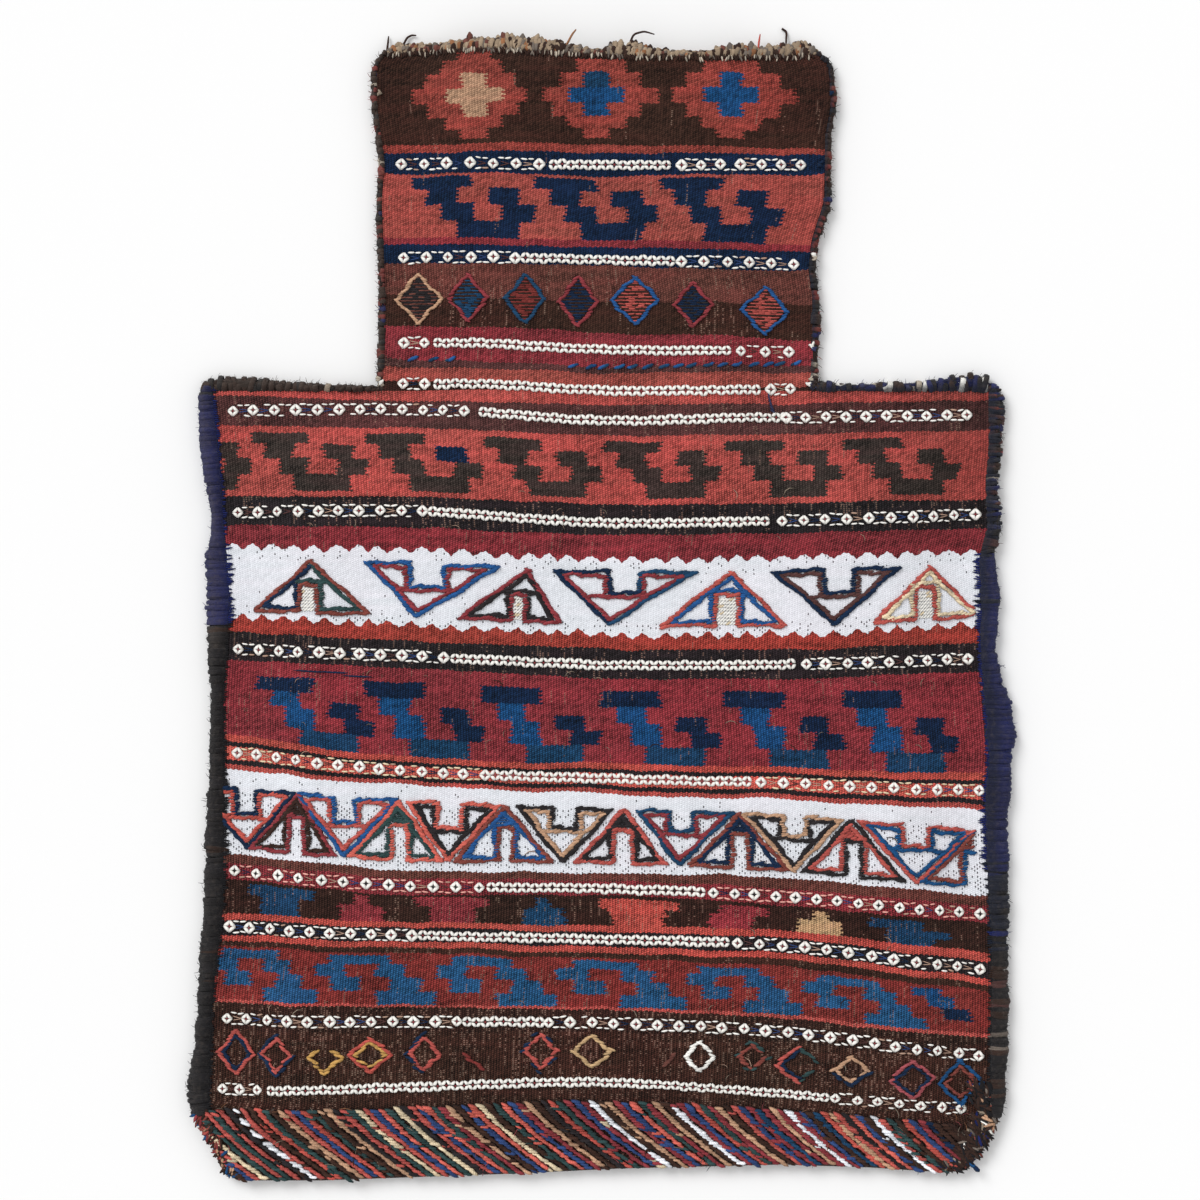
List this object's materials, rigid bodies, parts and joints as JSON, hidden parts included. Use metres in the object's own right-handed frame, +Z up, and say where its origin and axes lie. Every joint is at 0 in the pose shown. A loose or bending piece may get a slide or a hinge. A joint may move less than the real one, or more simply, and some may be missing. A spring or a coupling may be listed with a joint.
{
  "type": "salt bag",
  "caption": "Hand-woven wool salt bag with a bottle neck, patterned bands on the front, overcast sides and a tufted open mouth, lying flat on its back",
  "frame": {"origin": "middle of the bag's bounding box seen from above, at the level of its back, which lies on z = 0", "axes": "+X to the right as the patterned front is seen, +Y along the bag towards its mouth, +Z up out of the patterned front"},
  "size_m": [0.4126, 0.5754, 0.019],
  "materials": {
    "bag_cloth": "slit-free weft-faced wool weave with brocaded and wrapped patterns",
    "left_side_binding_upper": "thick navy wool overcasting",
    "left_side_binding_lower": "thick black wool overcasting",
    "right_side_binding_upper": "thick speckled dark wool overcasting",
    "right_side_binding_middle": "thick navy wool overcasting",
    "right_side_binding_lower": "thick black wool overcasting",
    "left_shoulder_binding": "dark brown wool overcasting",
    "right_shoulder_binding": "speckled dark wool overcasting",
    "left_neck_binding": "thin brown wool overcasting",
    "right_neck_binding": "thin brown wool overcasting",
    "front_mouth_fringe": "pale undyed warp ends, knotted and tufted",
    "back_mouth_fringe": "pale undyed warp ends, knotted and tufted"
  },
  "bodies": {
    "root": {"bag_cloth": "bag_cloth", "left_side_binding_upper": "left_side_binding_upper", "left_side_binding_lower": "left_side_binding_lower", "right_side_binding_upper": "right_side_binding_upper", "right_side_binding_middle": "right_side_binding_middle", "right_side_binding_lower": "right_side_binding_lower", "left_shoulder_binding": "left_shoulder_binding", "right_shoulder_binding": "right_shoulder_binding", "left_neck_binding": "left_neck_binding", "right_neck_binding": "right_neck_binding", "front_mouth_fringe": "front_mouth_fringe", "back_mouth_fringe": "back_mouth_fringe"}
  },
  "joints": []
}
